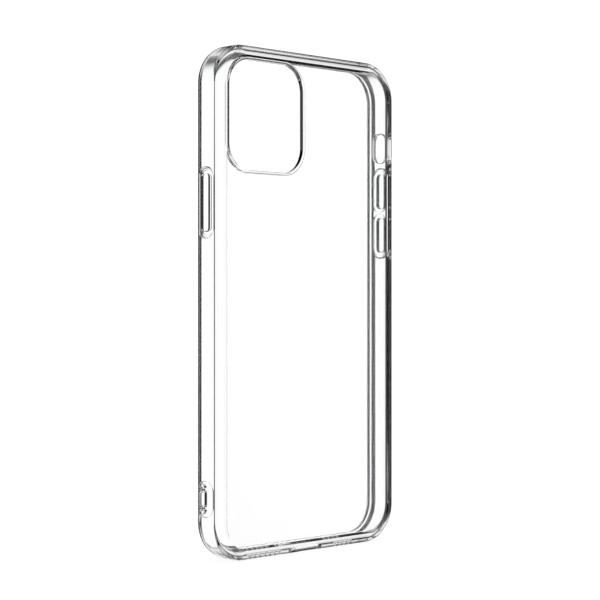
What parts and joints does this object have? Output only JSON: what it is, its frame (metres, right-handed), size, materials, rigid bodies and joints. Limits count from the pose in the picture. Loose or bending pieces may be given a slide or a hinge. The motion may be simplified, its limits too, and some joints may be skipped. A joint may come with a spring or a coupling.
{
  "type": "phone case",
  "caption": "Clear phone case: hard back plate in a flexible bumper frame, with a raised camera guard, key pads on flexible webs, side openings, grilles and a lanyard anchor.",
  "frame": {"origin": "middle of the bottom end, halfway through the depth from the camera guard's face to the lip's face", "axes": "+Z towards the top end, -Y out of the back, +Y out of the screen side, +X to the right as seen from the back"},
  "size_m": [0.08, 0.0116, 0.155],
  "materials": {
    "hard_clear": "clear polycarbonate, polished, faint dust haze",
    "soft_clear": "clear flexible polyurethane, glossy, slightly softer reflections",
    "guard_clear": "clear flexible polyurethane, polished rim",
    "pad_clear": "clear flexible polyurethane, glossy crowned pads",
    "web_clear": "thin clear flexible polyurethane"
  },
  "bodies": {
    "case": {"back_plate": "hard_clear", "bumper_frame": "soft_clear", "camera_guard": "guard_clear", "power_button_web": "web_clear", "volume_up_web": "web_clear", "volume_down_web": "web_clear"},
    "power_button": {"power_button": "pad_clear"},
    "volume_up_button": {"volume_up_button": "pad_clear"},
    "volume_down_button": {"volume_down_button": "pad_clear"}
  },
  "joints": [
    {"name": "power_press", "type": "slide", "parent": "case", "child": "power_button", "axis": [1, 0, 0], "range_m": [0, 0.0004], "stiffness_N_per_m": 2500, "deforming": ["power_button_web"]},
    {"name": "volume_up_press", "type": "slide", "parent": "case", "child": "volume_up_button", "axis": [-1, 0, 0], "range_m": [0, 0.0004], "stiffness_N_per_m": 2500, "deforming": ["volume_up_web"]},
    {"name": "volume_down_press", "type": "slide", "parent": "case", "child": "volume_down_button", "axis": [-1, 0, 0], "range_m": [0, 0.0004], "stiffness_N_per_m": 2500, "deforming": ["volume_down_web"]}
  ]
}
